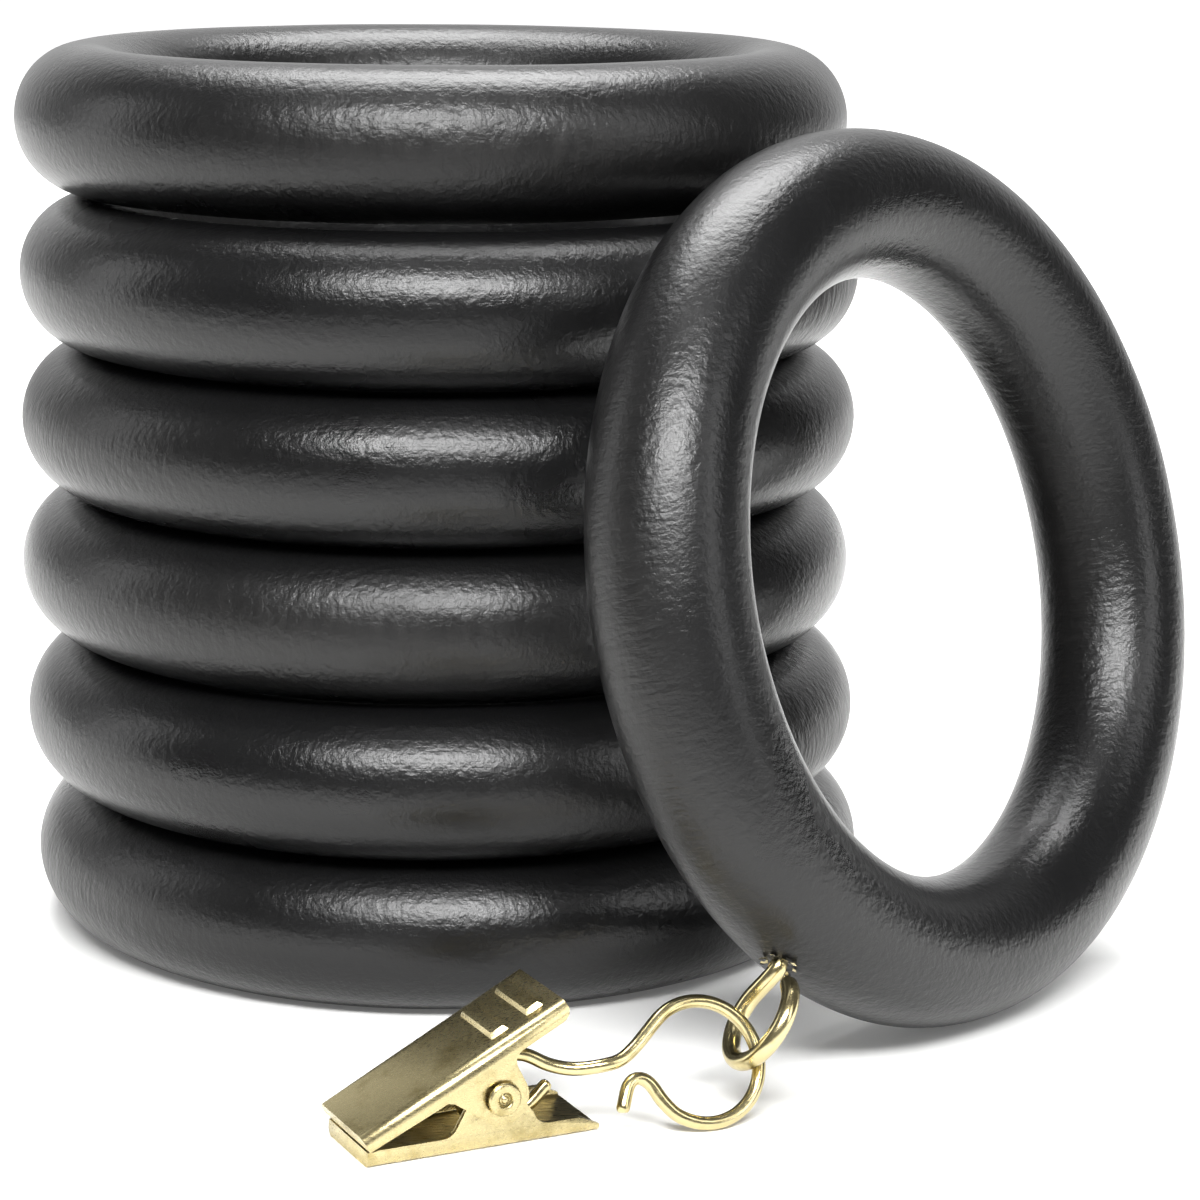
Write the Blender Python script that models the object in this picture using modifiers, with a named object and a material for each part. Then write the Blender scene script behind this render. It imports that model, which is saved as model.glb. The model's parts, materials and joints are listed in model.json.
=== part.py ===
"""Seven turned wooden curtain rings and one sprung brass clip.

Six rings lie in a stack and the seventh leans on it. Every ring holds a brass screw eye. The clip
hangs from the eye of the leaning ring: a bent hook wire, two folded sheet jaws, the rivet that they
turn on, and the torsion spring that closes them.

Metres, +Z up. The floor is z = 0 and the origin is the middle of the bottom of the set's box.
"""
import math

import bmesh
import bpy
import numpy as np
from mathutils import Matrix, Vector

# ---- driving dimensions, in metres and degrees -------------------------------------------------
RING_OUTER_DIAMETER = 0.06985       # 2 3/4 inch
RING_THICKNESS = 0.01158            # across the wood, from bore to rim
RING_HEIGHT = 0.01192               # along the ring's axis
RING_SEGMENTS = 40
RING_SECTION_SEGMENTS = 12

STACK_GAP = 0.00025                 # between two stacked rings
# How far each stacked ring lies off the stack's axis, from the bottom one up.
STACK_OFFSETS = [(0.0007, -0.0017), (0.0001, -0.0019), (-0.0003, 0.0000),
                 (0.0000, -0.0003), (0.0001, -0.0004), (-0.0006, 0.0043)]

LEAN_DIRECTION = -38.1              # from the stack's axis to the leaning ring's centre
LEAN_TURN = -41.0                   # heading of the leaning ring's own axis
LEAN_TILT = 14.1                    # how far that axis points up
LEAN_GAP = 0.0005                   # from the leaning ring to the stack

EYE_WIRE = 0.00144
EYE_LOOP_RADIUS = 0.00340           # to the middle of the wire
EYE_NECK = 0.00125                  # from the ring's rim to the loop's nearest wire centre
EYE_LOOP_START = 148.0              # where the neck joins the loop, from its outermost point
EYE_END_GAP = 0.00025               # from the loop's cut end to the shank
EYE_THREAD_LENGTH = 0.0070
EYE_THREAD_PITCH = 0.0010
EYE_THREAD_DEPTH = 0.0001
EYE_TURN = -71.5                    # of the loop about its shank, 0 is in the ring's plane
BACK_EYE_ANGLES = [88.0, 95.0, 84.0, 91.0, 97.0, 86.0]
PILOT_CLEARANCE = 0.0003

HOOK_WIRE = 0.00106
HOOK_LOOP_RADIUS = 0.00444          # to the middle of the wire
HOOK_SEAT_HEIGHT = 0.00557          # of the wire where it passes through the eye's loop
HOOK_SEAT_ANGLE = 32.0              # of that place in the eye's loop, from its outermost point
HOOK_SEAT_ON_LOOP = 18.0            # of that place on the hook's loop
HOOK_LOOP_REACH = 130.0             # the loop runs this far each way from its outermost point
HOOK_SLANT = 44.0                   # at which the wire crosses the eye's loop
HOOK_CLEARANCE = 0.00020            # from the hook's wire to the eye's wire
HOOK_HEADING = 22.3
HOOK_LEAN = 30.2                    # how far the hook's plane leans back from upright
RIVET_LOOP_RADIUS = 0.00235         # of the hook wire's inner loop, to the middle of the wire
# Route points before and after the hook's loop in its own plane, then in the clip's frame, where
# the middle number is a share of the lower jaw's inner half-width.
HOOK_CURL = [(-0.0111, -0.0041), (-0.0106, -0.0030), (-0.0101, -0.0021), (-0.0093, -0.0018),
             (-0.0085, -0.0024), (-0.0080, -0.0035)]
HOOK_NECK = [(-0.0082, 0.0011), (-0.0092, 0.0003), (-0.0104, -0.0004), (-0.0119, -0.0006)]
HOOK_LEG = [(0.0058, -1.03, 0.0010), (0.0041, -0.85, 0.0014), (0.0026, -0.70, 0.0022),
            (0.0012, -0.64, 0.0024)]
HOOK_TAIL = [(0.0018, -0.515, -0.0023), (0.0031, -0.515, -0.0018), (0.0047, -0.515, -0.0003)]

SHEET = 0.00040
CLIP_HEADING = 23.7
CLIP_REACH = (-0.01962, -0.00407)   # from the hook's seat to the middle of the rivet
CLIP_WIDTH = 0.0086                 # outside the upper jaw
JAW_CLEARANCE = 0.0002              # between the two jaws' cheeks
FOLD_RADIUS = 0.0009

UPPER_LENGTH_FRONT = 0.0100         # from the rivet to the tip, along the plate
UPPER_LENGTH_REAR = 0.00725
UPPER_TILT = 27.2                   # of the upper plate when the jaws are shut
UPPER_PLATE_HEIGHT = 0.00351        # from the rivet's axis to the plate's outer face
UPPER_RAIL = 0.00125                # depth of the folded edge
UPPER_EAR_FRONT = 0.0032            # from the rivet to where the folded edge meets the ear
LIP_RISE = 0.4                      # of the folded lip above the folded edge, in sheets
EAR_RADIUS = 0.0020
LIP_GAP = 0.00025
RIB_LENGTH = 0.0058                 # the two pressed grip ribs, across the plate
RIB_WIDTH = 0.0017
RIB_HEIGHT = 0.00035
RIB_PITCH = 0.0030
RIB_REAR_MARGIN = 0.0011

LOWER_LENGTH_FRONT = 0.00995
LOWER_LENGTH_REAR = 0.00775
LOWER_RAIL = 0.00125
LOWER_EAR_FRONT = 0.0043            # from the rivet to where each curve up to the ear starts
LOWER_EAR_REAR = 0.0038
LOWER_EAR_CURVE = 0.0012
LOWER_TAIL_SLOPE = 0.0015           # length of the slope at the rear end of the folded edge
PIVOT_HEIGHT = 0.00384              # from the lower jaw's underside to the rivet's axis

RIVET_RADIUS = 0.0008
RIVET_BORE_RADIUS = 0.00045
RIVET_HEAD_RADIUS = 0.00125
RIVET_HEAD_HEIGHT = 0.00032
RIVET_CLEARANCE = 0.0002

SPRING_WIRE = 0.0006
SPRING_RADIUS = 0.0017              # to the middle of the wire
SPRING_TURNS = 3                    # the coil's two tangent points take part of a turn off
SPRING_PITCH = 0.0009
SPRING_GAP = 0.0003                 # from the spring to the jaw's cheek and to the plates it pushes
SPRING_ARM_UPPER = 0.0060           # how far back each arm reaches from the rivet
SPRING_ARM_LOWER = 0.0046

# ---- values worked out from them ----------------------------------------------------------------
RIM = RING_OUTER_DIAMETER / 2
CORE = RIM - RING_THICKNESS / 2
STACK_PITCH = RING_HEIGHT + STACK_GAP
LOWER_WIDTH = CLIP_WIDTH - 2 * (SHEET + JAW_CLEARANCE)
LOWER_INSIDE = LOWER_WIDTH / 2 - SHEET
RIVET_HOLE_RADIUS = RIVET_RADIUS + RIVET_CLEARANCE


def turn(degrees, axis):
    return Matrix.Rotation(math.radians(degrees), 4, axis)


def move(x, y, z):
    return Matrix.Translation((x, y, z))


# ---- scene, collections and materials ------------------------------------------------------------
def empty_scene():
    for thing in list(bpy.data.objects):
        bpy.data.objects.remove(thing, do_unlink=True)


def new_collection(name):
    collection = bpy.data.collections.new(name)
    bpy.context.scene.collection.children.link(collection)
    return collection


def new_material(name, colour, roughness, metallic):
    material = bpy.data.materials.new(name)
    material.use_nodes = True
    shader = material.node_tree.nodes["Principled BSDF"]
    shader.inputs["Base Color"].default_value = (*colour, 1.0)
    shader.inputs["Roughness"].default_value = roughness
    shader.inputs["Metallic"].default_value = metallic
    return material


empty_scene()
PARTS = new_collection("curtain_rings_with_clip")
CUTTERS = new_collection("cutters")
BLACK_PAINT = new_material("black_satin_paint", (0.017, 0.017, 0.018), 0.36, 0.0)
BRASS = new_material("pale_brass", (0.72, 0.58, 0.32), 0.24, 1.0)
SPRING_STEEL = new_material("brassed_spring_wire", (0.60, 0.50, 0.30), 0.30, 1.0)


# ---- modelling helpers -----------------------------------------------------------------------------
def add_part(name, data, material, placement):
    """Put a mesh or a curve in the parts collection at a place."""
    thing = bpy.data.objects.new(name, data)
    PARTS.objects.link(thing)
    data.materials.clear()
    data.materials.append(material)
    thing.matrix_world = placement
    return thing


def add_cutter(name, mesh, part, placement):
    """Put a cutter at a place given in the frame of the part that it cuts."""
    cutter = bpy.data.objects.new(name, mesh)
    CUTTERS.objects.link(cutter)
    cutter.parent = part
    cutter.matrix_local = placement
    cutter.hide_render = True
    cutter.display_type = "WIRE"
    return cutter


def combine(part, cutter, operation):
    modifier = part.modifiers.new(cutter.name, "BOOLEAN")
    modifier.operation = operation
    modifier.solver = "EXACT"
    modifier.object = cutter


def mesh_from(name, build):
    """A mesh made by a function that fills a bmesh."""
    work = bmesh.new()
    build(work)
    mesh = bpy.data.meshes.new(name)
    work.to_mesh(mesh)
    work.free()
    return mesh


def box_mesh(name, low, high, fold_radius=0.0, fold_side=0.0):
    """A box from corner to corner, with the two long edges at one z side rounded as folds."""
    low = Vector(low)
    high = Vector(high)

    def build(work):
        bmesh.ops.create_cube(work, size=1.0)
        size = high - low
        bmesh.ops.scale(work, vec=size, verts=work.verts)
        bmesh.ops.translate(work, vec=(low + high) / 2, verts=work.verts)
        if fold_radius:
            level = high.z if fold_side > 0 else low.z
            edges = [edge for edge in work.edges
                     if all(abs(v.co.z - level) < 1e-7 for v in edge.verts)
                     and abs(edge.verts[0].co.y - edge.verts[1].co.y) < 1e-7]
            bmesh.ops.bevel(work, geom=edges, offset=fold_radius, offset_type="OFFSET",
                            segments=5, profile=0.5, affect="EDGES")
    return mesh_from(name, build)


def cylinder_mesh(name, radius, length, segments=24):
    def build(work):
        bmesh.ops.create_cone(work, cap_ends=True, segments=segments, radius1=radius,
                              radius2=radius, depth=length)
    return mesh_from(name, build)


def frustum_mesh(name, length, width, height, slope):
    """A pressed rib: a low block whose four sides lean in, standing on z = 0."""
    def build(work):
        bmesh.ops.create_cube(work, size=1.0)
        for v in work.verts:
            inset = slope if v.co.z > 0 else 0.0
            v.co.x = math.copysign(width / 2 - inset, v.co.x)
            v.co.y = math.copysign(length / 2 - inset, v.co.y)
            v.co.z = height if v.co.z > 0 else -SHEET / 2
    return mesh_from(name, build)


def outline_mesh(name, outline, half_thickness):
    """A flat outline in x and z, extruded both ways along y, as one closed mesh."""
    curve = bpy.data.curves.new(name, "CURVE")
    curve.dimensions = "2D"
    curve.fill_mode = "BOTH"
    curve.extrude = half_thickness
    spline = curve.splines.new("POLY")
    spline.points.add(len(outline) - 1)
    for point, (x, z) in zip(spline.points, outline):
        point.co = (x, z, 0.0, 1.0)
    spline.use_cyclic_u = True
    holder = bpy.data.objects.new(name, curve)
    CUTTERS.objects.link(holder)
    evaluated = holder.evaluated_get(bpy.context.evaluated_depsgraph_get())
    mesh = bpy.data.meshes.new_from_object(evaluated)
    bpy.data.objects.remove(holder, do_unlink=True)
    work = bmesh.new()
    work.from_mesh(mesh)
    bmesh.ops.remove_doubles(work, verts=work.verts, dist=1e-6)
    bmesh.ops.recalc_face_normals(work, faces=work.faces)
    work.to_mesh(mesh)
    work.free()
    mesh.transform(turn(90, "X"))
    return mesh


def arc(centre, radius, start, end, steps):
    """Points along an arc in a plane, with its angles in degrees."""
    angles = np.radians(np.linspace(start, end, steps))
    return [(centre[0] + radius * math.cos(a), centre[1] + radius * math.sin(a)) for a in angles]


def smooth_route(points, spacing):
    """Even points along a centripetal Catmull-Rom curve through the given ones."""
    given = np.array([tuple(point) for point in points])
    given = np.vstack([2 * given[0] - given[1], given, 2 * given[-1] - given[-2]])
    fine = []
    for i in range(1, len(given) - 2):
        p0, p1, p2, p3 = given[i - 1:i + 3]
        t1 = np.linalg.norm(p1 - p0) ** 0.5
        t2 = t1 + np.linalg.norm(p2 - p1) ** 0.5
        t3 = t2 + np.linalg.norm(p3 - p2) ** 0.5
        for t in np.linspace(t1, t2, 12, endpoint=False):
            a1 = (t1 - t) / t1 * p0 + t / t1 * p1
            a2 = (t2 - t) / (t2 - t1) * p1 + (t - t1) / (t2 - t1) * p2
            a3 = (t3 - t) / (t3 - t2) * p2 + (t - t2) / (t3 - t2) * p3
            b1 = (t2 - t) / t2 * a1 + t / t2 * a2
            b2 = (t3 - t) / (t3 - t1) * a2 + (t - t1) / (t3 - t1) * a3
            fine.append((t2 - t) / (t2 - t1) * b1 + (t - t1) / (t2 - t1) * b2)
    fine.append(given[-2])
    fine = np.array(fine)
    along = np.concatenate([[0.0], np.cumsum(np.linalg.norm(np.diff(fine, axis=0), axis=1))])
    even = np.linspace(0.0, along[-1], int(round(along[-1] / spacing)) + 1)
    return [Vector([np.interp(s, along, fine[:, k]) for k in range(3)]) for s in even]


def wire_curve(name, route, wire, radii=None):
    """A round wire along a route, with filled ends."""
    curve = bpy.data.curves.new(name, "CURVE")
    curve.dimensions = "3D"
    curve.bevel_depth = wire / 2
    curve.bevel_resolution = 2
    curve.use_fill_caps = True
    spline = curve.splines.new("POLY")
    spline.points.add(len(route) - 1)
    for i, point in enumerate(route):
        spline.points[i].co = (*point, 1.0)
        spline.points[i].radius = radii[i] if radii else 1.0
    spline.use_smooth = True
    return curve


# ---- where things stand ------------------------------------------------------------------------------
def lean_placement(distance):
    """The leaning ring's frame: x level, y up in its plane, z its axis. Its foot is on the floor."""
    tilt = math.radians(LEAN_TILT)
    section = math.hypot(RING_THICKNESS / 2 * math.cos(tilt), RING_HEIGHT / 2 * math.sin(tilt))
    height = CORE * math.cos(tilt) + section
    heading = math.radians(LEAN_DIRECTION)
    place = move(distance * math.cos(heading), distance * math.sin(heading), height)
    return place @ turn(LEAN_TURN, "Z") @ turn(90, "Z") @ turn(90 - LEAN_TILT, "X")


def stack_clearance(distance):
    """How far the leaning ring stays from the stacked ones when its centre is this far out."""
    round_ring = np.radians(np.arange(0, 360, 2.0))
    section = np.radians(np.arange(0, 360, 10.0))
    big, small = np.meshgrid(round_ring, section)
    reach = CORE + RING_THICKNESS / 2 * np.cos(small)
    local = np.stack([reach * np.cos(big), reach * np.sin(big),
                      RING_HEIGHT / 2 * np.sin(small), np.ones_like(big)])
    world = np.array(lean_placement(distance)) @ local.reshape(4, -1)
    nearest = 1.0
    for level, (dx, dy) in enumerate(STACK_OFFSETS):
        across = np.hypot(world[0] - dx, world[1] - dy) - CORE
        up = world[2] - RING_HEIGHT / 2 - level * STACK_PITCH
        size = np.hypot(across / (RING_THICKNESS / 2), up / (RING_HEIGHT / 2))
        nearest = min(nearest, ((size - 1) * RING_THICKNESS / 2).min())
    return nearest


def lowest_value(passes, low, high):
    """The lowest value between two limits that passes a test that all higher ones pass."""
    for _ in range(40):
        middle = (low + high) / 2
        if passes(middle):
            high = middle
        else:
            low = middle
    return high


def eye_placement(ring, angle, loop_turn):
    """An eye's frame: x out of the ring's rim, the loop in x and y."""
    return ring @ turn(angle, "Z") @ move(RIM, 0, 0) @ turn(loop_turn, "X")


def hook_seat(angle):
    """Where the hook wire crosses the eye's loop when the eye is at this angle on its ring."""
    wires = (EYE_WIRE + HOOK_WIRE) / 2 + HOOK_CLEARANCE
    inset = EYE_LOOP_RADIUS - wires / math.sin(math.radians(HOOK_SLANT))
    aside = math.radians(HOOK_SEAT_ANGLE)
    place = Vector((EYE_NECK + EYE_LOOP_RADIUS + inset * math.cos(aside), inset * math.sin(aside), 0))
    return eye_placement(LEAN, angle, EYE_TURN) @ place


# The leaning ring just keeps its gap to the stack, and its eye holds the hook at its height.
LEAN = lean_placement(lowest_value(lambda d: stack_clearance(d) >= LEAN_GAP, RIM, 3 * RIM))
LEAN_EYE_ANGLE = lowest_value(lambda a: hook_seat(a).z <= HOOK_SEAT_HEIGHT, 180.0, 260.0)
LEAN_EYE = eye_placement(LEAN, LEAN_EYE_ANGLE, EYE_TURN)
SEAT = hook_seat(LEAN_EYE_ANGLE)
HOOK = Matrix.Translation(SEAT) @ turn(HOOK_HEADING, "Z") @ turn(90 - HOOK_LEAN, "X")
CLIP = move(SEAT.x + CLIP_REACH[0], SEAT.y + CLIP_REACH[1], PIVOT_HEIGHT) @ turn(CLIP_HEADING, "Z")


# ---- the rings and their screw eyes --------------------------------------------------------------
def make_ring(name, placement, eye):
    """A turned ring of oval section, with the blind pilot hole that its eye screws into."""
    bpy.ops.mesh.primitive_torus_add(major_radius=CORE, minor_radius=RING_THICKNESS / 2,
                                     major_segments=RING_SEGMENTS,
                                     minor_segments=RING_SECTION_SEGMENTS)
    blank = bpy.context.object
    mesh = blank.data
    bpy.data.objects.remove(blank, do_unlink=True)
    mesh.name = name
    mesh.transform(Matrix.Diagonal((1, 1, RING_HEIGHT / RING_THICKNESS, 1)))
    mesh.shade_smooth()
    ring = add_part(name, mesh, BLACK_PAINT, placement)
    depth = EYE_THREAD_LENGTH + PILOT_CLEARANCE
    mouth = RING_THICKNESS / 4
    hole = cylinder_mesh(name + "_pilot", EYE_WIRE / 2 + PILOT_CLEARANCE, depth + mouth, 16)
    middle = move((mouth - depth) / 2, 0, 0)
    local = placement.inverted() @ eye @ middle @ turn(90, "Y")
    combine(ring, add_cutter(name + "_pilot", hole, ring, local), "DIFFERENCE")


def make_eye(name, placement):
    """One wire: a threaded shank, a neck, and a loop that comes round to its own neck."""
    thread_steps = int(round(EYE_THREAD_LENGTH / EYE_THREAD_PITCH * 2))
    route = [(-EYE_THREAD_LENGTH + i * EYE_THREAD_PITCH / 2, 0.0) for i in range(thread_steps)]
    groove = 1.0 - 2 * EYE_THREAD_DEPTH / EYE_WIRE
    radii = [groove if i % 2 else 1.0 for i in range(thread_steps)]
    centre = (EYE_NECK + EYE_LOOP_RADIUS, 0.0)
    # The loop's cut end stops where its side would meet the shank's.
    end_offset = EYE_WIRE + EYE_END_GAP
    end = 180.0 - math.degrees(math.asin(end_offset / (EYE_LOOP_RADIUS - EYE_WIRE / 3)))
    loop = [(0.0, 0.0), (EYE_NECK * 0.5, 0.0)]
    loop += arc(centre, EYE_LOOP_RADIUS, EYE_LOOP_START, -end, 20)
    route += loop
    radii += [1.0] * len(loop)
    points = [Vector((x, y, 0.0)) for x, y in route]
    add_part(name, wire_curve(name, points, EYE_WIRE, radii), BRASS, placement)


def make_rings():
    for level, (dx, dy) in enumerate(STACK_OFFSETS):
        number = level + 1
        place = move(dx, dy, RING_HEIGHT / 2 + level * STACK_PITCH)
        eye = eye_placement(place, BACK_EYE_ANGLES[level], EYE_TURN)
        make_ring(f"ring_{number}", place, eye)
        make_eye(f"screw_eye_{number}", eye)
    number = len(STACK_OFFSETS) + 1
    make_ring(f"ring_{number}", LEAN, LEAN_EYE)
    make_eye(f"screw_eye_{number}", LEAN_EYE)


# ---- the clip ----------------------------------------------------------------------------------------
def make_hook():
    """The hook wire: curled end, open loop, leg, loop round the rivet, and a turned-up end."""
    seat = math.radians(HOOK_SEAT_ON_LOOP)
    centre = (-HOOK_LOOP_RADIUS * math.cos(seat), -HOOK_LOOP_RADIUS * math.sin(seat))
    flat = HOOK_CURL + arc(centre, HOOK_LOOP_RADIUS, -HOOK_LOOP_REACH, HOOK_LOOP_REACH, 26) + HOOK_NECK
    route = [HOOK @ Vector((x, y, 0.0)) for x, y in flat]
    turns = arc((0.0, 0.0), RIVET_LOOP_RADIUS, 90, 280, 14)
    sides = np.linspace(HOOK_LEG[-1][1], HOOK_TAIL[0][1], len(turns))
    round_rivet = [(x, side, z) for (x, z), side in zip(turns, sides)]
    for x, share, z in HOOK_LEG + round_rivet + HOOK_TAIL:
        route.append(CLIP @ Vector((x, share * LOWER_INSIDE, z)))
    to_local = HOOK.inverted()
    points = [to_local @ point for point in smooth_route(route, HOOK_WIRE * 0.55)]
    add_part("hook_wire", wire_curve("hook_wire", points, HOOK_WIRE), BRASS, HOOK)


def jaw_ear(front, rear, front_angle, rear_angle):
    """The stretch of a jaw's side outline that runs down, round the rivet and up again."""
    return front + arc((0.0, 0.0), EAR_RADIUS, front_angle, rear_angle, 15) + rear


def drill_for_rivet(jaw):
    hole = cylinder_mesh(jaw.name + "_rivet_hole", RIVET_HOLE_RADIUS, 2 * CLIP_WIDTH)
    combine(jaw, add_cutter(jaw.name + "_rivet_hole", hole, jaw, turn(90, "X")), "DIFFERENCE")


def make_upper_jaw():
    """A plate with folded cheeks and a folded lip; x runs back along the plate from the rivet."""
    half = CLIP_WIDTH / 2
    top = UPPER_PLATE_HEIGHT
    deep = 2 * UPPER_PLATE_HEIGHT
    shell = box_mesh("upper_jaw", (-UPPER_LENGTH_FRONT, -half, -deep),
                     (UPPER_LENGTH_REAR + SHEET, half, top), FOLD_RADIUS, 1)
    jaw = add_part("upper_jaw", shell, BRASS, CLIP @ turn(-UPPER_TILT, "Y"))
    inside = box_mesh("upper_jaw_inside", (SHEET - UPPER_LENGTH_FRONT, SHEET - half, -2 * deep),
                      (2 * UPPER_LENGTH_REAR, half - SHEET, top - SHEET), FOLD_RADIUS - SHEET, 1)
    combine(jaw, add_cutter("upper_jaw_inside", inside, jaw, Matrix()), "DIFFERENCE")

    rail = top - UPPER_RAIL
    over = 2 * top
    beyond = 2 * UPPER_LENGTH_FRONT
    corner = UPPER_RAIL * 0.7
    lip = rail + SHEET * LIP_RISE
    front = [(-UPPER_LENGTH_FRONT - SHEET, lip), (-UPPER_EAR_FRONT - SHEET, rail - SHEET * 0.4),
             (-UPPER_EAR_FRONT, rail - SHEET * 1.2)]
    rear = arc((EAR_RADIUS + corner, rail - corner), corner, 180, 90, 6)
    rear += arc((UPPER_LENGTH_REAR - corner, rail + corner), corner, -90, 0, 6)
    outline = jaw_ear(front, rear, 195, 360) + [(UPPER_LENGTH_REAR, over), (-beyond, over),
                                                (-beyond, lip)]
    side = outline_mesh("upper_jaw_outline", outline, CLIP_WIDTH)
    combine(jaw, add_cutter("upper_jaw_outline", side, jaw, Matrix()), "INTERSECT")
    drill_for_rivet(jaw)
    for i in range(2):
        x = UPPER_LENGTH_REAR - RIB_REAR_MARGIN - RIB_WIDTH / 2 - i * RIB_PITCH
        rib = frustum_mesh(f"grip_rib_{i + 1}", RIB_LENGTH, RIB_WIDTH, RIB_HEIGHT, RIB_HEIGHT)
        combine(jaw, add_cutter(f"grip_rib_{i + 1}", rib, jaw, move(x, 0, top)), "UNION")
        hollow = frustum_mesh(f"grip_hollow_{i + 1}", RIB_LENGTH - SHEET, RIB_WIDTH - SHEET,
                              RIB_HEIGHT, RIB_HEIGHT)
        cutter = add_cutter(f"grip_hollow_{i + 1}", hollow, jaw, move(x, 0, top - SHEET))
        combine(jaw, cutter, "DIFFERENCE")


def make_lower_jaw():
    """A flat foot plate with cheeks that stand up inside the upper jaw's, and a front lip."""
    half = LOWER_WIDTH / 2
    foot = -PIVOT_HEIGHT
    tall = 2 * EAR_RADIUS
    shell = box_mesh("lower_jaw", (-LOWER_LENGTH_FRONT, -half, foot),
                     (LOWER_LENGTH_REAR + SHEET, half, tall), FOLD_RADIUS * 0.6, -1)
    jaw = add_part("lower_jaw", shell, BRASS, CLIP)
    inside = box_mesh("lower_jaw_inside", (SHEET - LOWER_LENGTH_FRONT, SHEET - half, foot + SHEET),
                      (2 * LOWER_LENGTH_REAR, half - SHEET, 2 * tall), SHEET * 0.3, -1)
    combine(jaw, add_cutter("lower_jaw_inside", inside, jaw, Matrix()), "DIFFERENCE")

    rail = foot + LOWER_RAIL
    lip = lip_height()
    below = 2 * foot
    front = [(-LOWER_LENGTH_FRONT + SHEET, lip), (-LOWER_LENGTH_FRONT + 2 * SHEET, rail)]
    curve = LOWER_EAR_CURVE
    front += arc((-LOWER_EAR_FRONT, rail + curve), curve, -90, -20, 5)
    rear = arc((LOWER_EAR_REAR, rail + curve), curve, 190, 270, 5)
    rear += [(LOWER_LENGTH_REAR - LOWER_TAIL_SLOPE, rail), (LOWER_LENGTH_REAR, foot + SHEET * 1.4)]
    outline = jaw_ear(front, rear, 170, -20)
    outline += [(LOWER_LENGTH_REAR, below), (-2 * LOWER_LENGTH_FRONT, below),
                (-2 * LOWER_LENGTH_FRONT, lip)]
    side = outline_mesh("lower_jaw_outline", outline, CLIP_WIDTH)
    combine(jaw, add_cutter("lower_jaw_outline", side, jaw, Matrix()), "INTERSECT")
    drill_for_rivet(jaw)


def lip_height():
    """Where the lower lip stops, a gap below the upper lip's edge, from the rivet's axis."""
    tilt = math.radians(UPPER_TILT)
    edge = UPPER_PLATE_HEIGHT - UPPER_RAIL + SHEET * LIP_RISE
    return -UPPER_LENGTH_FRONT * math.sin(tilt) + edge * math.cos(tilt) - LIP_GAP


def make_rivet():
    """A tubular eyelet with a rolled head at each end, turned from one closed profile."""
    end = CLIP_WIDTH / 2 + RIVET_CLEARANCE
    crown = end + RIVET_HEAD_HEIGHT
    roll = RIVET_HEAD_HEIGHT / 2
    head = [(RIVET_BORE_RADIUS + roll / 2, crown - roll / 2), (RIVET_BORE_RADIUS + roll, crown),
            (RIVET_HEAD_RADIUS - roll, crown), (RIVET_HEAD_RADIUS, crown - roll),
            (RIVET_HEAD_RADIUS, end), (RIVET_RADIUS, end)]
    foot = [(x, -z) for x, z in reversed(head)]
    bore = [(RIVET_BORE_RADIUS, roll - end), (RIVET_BORE_RADIUS, end - roll)]
    profile = head + foot + bore

    def build(work):
        ring = [work.verts.new((x, 0.0, z)) for x, z in profile]
        for i, vert in enumerate(ring):
            work.edges.new((vert, ring[(i + 1) % len(ring)]))
    mesh = mesh_from("rivet", build)
    rivet = add_part("rivet", mesh, BRASS, CLIP @ turn(90, "X"))
    screw = rivet.modifiers.new("turned", "SCREW")
    screw.steps = 20
    screw.render_steps = 20
    screw.use_merge_vertices = True
    screw.merge_threshold = 1e-5
    screw.use_smooth_shade = True


def make_spring():
    """A torsion spring round the rivet; one arm pushes each jaw's rear end."""
    radius = SPRING_RADIUS
    tilt = math.radians(UPPER_TILT)
    upper_gap = UPPER_PLATE_HEIGHT - SHEET - SPRING_GAP - SPRING_WIRE / 2
    upper = (SPRING_ARM_UPPER * math.cos(tilt) - upper_gap * math.sin(tilt),
             SPRING_ARM_UPPER * math.sin(tilt) + upper_gap * math.cos(tilt))
    lower = (SPRING_ARM_LOWER, SHEET + SPRING_GAP + SPRING_WIRE / 2 - PIVOT_HEIGHT)

    def tangent_angle(point, side):
        return math.degrees(math.atan2(point[1], point[0])
                            + side * math.acos(radius / math.hypot(*point)))

    start = tangent_angle(upper, 1)
    end = tangent_angle(lower, -1) + 360 * SPRING_TURNS
    steps = int((end - start) / 24)
    coil = arc((0.0, 0.0), radius, start, end, steps)
    # The last turn lies a gap inside the lower jaw's cheek, and the others stand a pitch apart.
    last = LOWER_INSIDE - SPRING_GAP - SPRING_WIRE / 2
    sides = last - SPRING_PITCH * np.linspace((end - start) / 360, 0, len(coil))
    route = [Vector((upper[0], sides[0], upper[1]))]
    route += [Vector((x, side, z)) for (x, z), side in zip(coil, sides)]
    route += [Vector((lower[0], sides[-1], lower[1]))]
    curve = wire_curve("torsion_spring", route, SPRING_WIRE)
    add_part("torsion_spring", curve, SPRING_STEEL, CLIP)


def settle_origin():
    """Move the whole set so that the middle of its box's bottom is the origin."""
    bpy.context.view_layer.update()
    graph = bpy.context.evaluated_depsgraph_get()
    low = np.full(3, np.inf)
    high = np.full(3, -np.inf)
    for part in PARTS.objects:
        shape = part.evaluated_get(graph)
        mesh = shape.to_mesh()
        points = np.array([tuple(shape.matrix_world @ v.co) for v in mesh.vertices])
        shape.to_mesh_clear()
        low = np.minimum(low, points.min(axis=0))
        high = np.maximum(high, points.max(axis=0))
    middle = (low + high) / 2
    back = Vector((-middle[0], -middle[1], -low[2]))
    for part in PARTS.objects:
        part.matrix_world = Matrix.Translation(back) @ part.matrix_world
    bpy.context.view_layer.update()


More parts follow.
